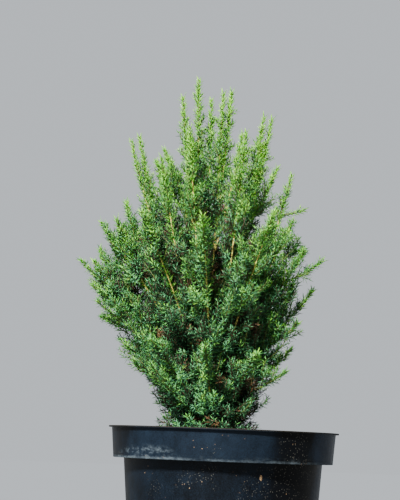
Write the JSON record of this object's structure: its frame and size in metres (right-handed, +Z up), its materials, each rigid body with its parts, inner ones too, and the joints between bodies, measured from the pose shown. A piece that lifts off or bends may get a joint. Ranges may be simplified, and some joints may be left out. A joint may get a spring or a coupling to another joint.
{
  "type": "potted compact common juniper",
  "caption": "Bushy upright evergreen shrub with ascending needle-covered shoots on a short hidden trunk, growing in a round black nursery pot with a deep rim band.",
  "frame": {"origin": "centre of the pot's flat underside, on the surface it stands on", "axes": "+Z up, +X to the right and -Y towards the viewer, as the plant is seen in the picture"},
  "size_m": [0.2364, 0.201, 0.4746],
  "materials": {
    "pot_plastic": "black moulded plastic, semi-matt, with dust and chalky marks",
    "growing_medium": "damp composted bark and fibre, dark brown, crumbly",
    "bark": "thin reddish-brown bark that peels in strips, orange-brown on young shoots",
    "foliage": "sharp awl-shaped needles, yellow-green at the tips, mid green to blue-green below, with a pale band"
  },
  "bodies": {
    "root": {"pot": "pot_plastic", "growing_medium": "growing_medium", "trunk": "bark", "back_high_bough": "bark", "back_left_high_bough": "bark", "back_left_middle_bough": "bark", "back_middle_bough": "bark", "back_right_high_bough": "bark", "back_right_middle_bough": "bark", "front_high_bough": "bark", "front_left_high_bough": "bark", "front_left_middle_bough": "bark", "front_middle_bough": "bark", "front_right_high_bough": "bark", "front_right_middle_bough": "bark", "left_high_bough": "bark", "left_lower_bough": "bark", "left_middle_bough": "bark", "left_shoulder_bough": "bark", "left_upper_bough": "bark", "right_high_bough": "bark", "right_lower_bough": "bark", "right_middle_bough": "bark", "right_shoulder_bough": "bark", "right_upper_bough": "bark", "back_centre_plume": "foliage", "back_high_plume": "foliage", "back_left_high_plume": "foliage", "back_left_middle_plume": "foliage", "back_left_skirt_plume": "foliage", "back_middle_plume": "foliage", "back_right_high_plume": "foliage", "back_right_middle_plume": "foliage", "back_right_skirt_plume": "foliage", "back_skirt_plume": "foliage", "front_high_plume": "foliage", "front_left_high_plume": "foliage", "front_left_middle_plume": "foliage", "front_left_skirt_plume": "foliage", "front_middle_plume": "foliage", "front_right_high_plume": "foliage", "front_right_middle_plume": "foliage", "front_right_skirt_plume": "foliage", "front_skirt_plume": "foliage", "leader_plume": "foliage", "left_centre_plume": "foliage", "left_high_plume": "foliage", "left_lower_plume": "foliage", "left_middle_plume": "foliage", "left_shoulder_plume": "foliage", "left_skirt_plume": "foliage", "left_upper_plume": "foliage", "right_centre_plume": "foliage", "right_high_plume": "foliage", "right_lower_plume": "foliage", "right_middle_plume": "foliage", "right_shoulder_plume": "foliage", "right_skirt_plume": "foliage", "right_upper_plume": "foliage"}
  },
  "joints": []
}
